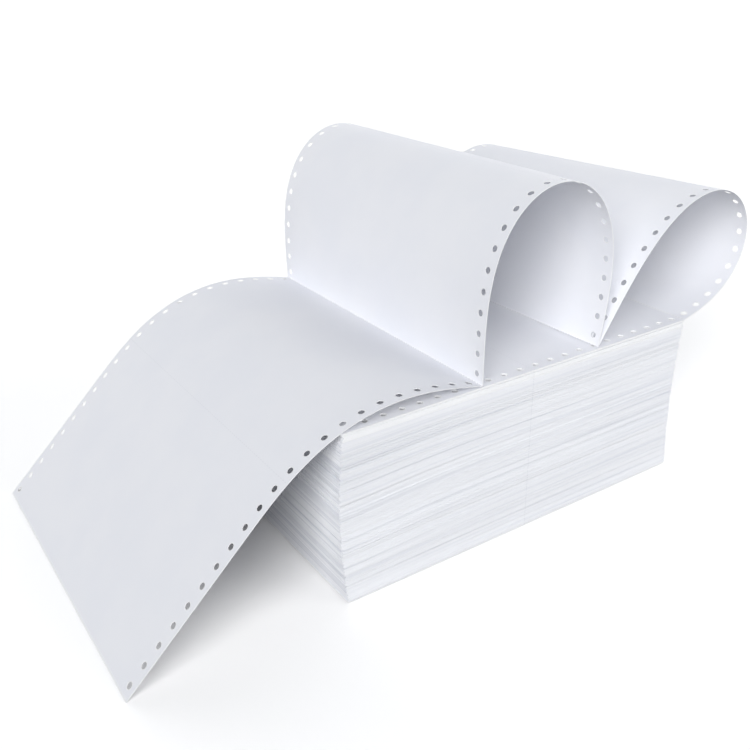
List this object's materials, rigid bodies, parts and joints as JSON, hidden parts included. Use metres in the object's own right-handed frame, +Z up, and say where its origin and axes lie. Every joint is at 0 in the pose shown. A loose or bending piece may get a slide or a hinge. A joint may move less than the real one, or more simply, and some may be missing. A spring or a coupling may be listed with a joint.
{
  "type": "fan-fold carbonless copy paper",
  "caption": "Continuous fan-fold copy paper in a pile, its top forms raised in two arches and draped over one end, with sprocket holes along both edges.",
  "frame": {"origin": "middle of the pile's base, on the surface that it stands on", "axes": "+X runs along the web from the draped end to the looped end, +Y across the web, +Z up"},
  "size_m": [0.4726, 0.2414, 0.2294],
  "materials": {
    "paper": "matt bright white paper with a faint blue cast"
  },
  "bodies": {
    "root": {"fanfold_web": "paper"}
  },
  "joints": []
}
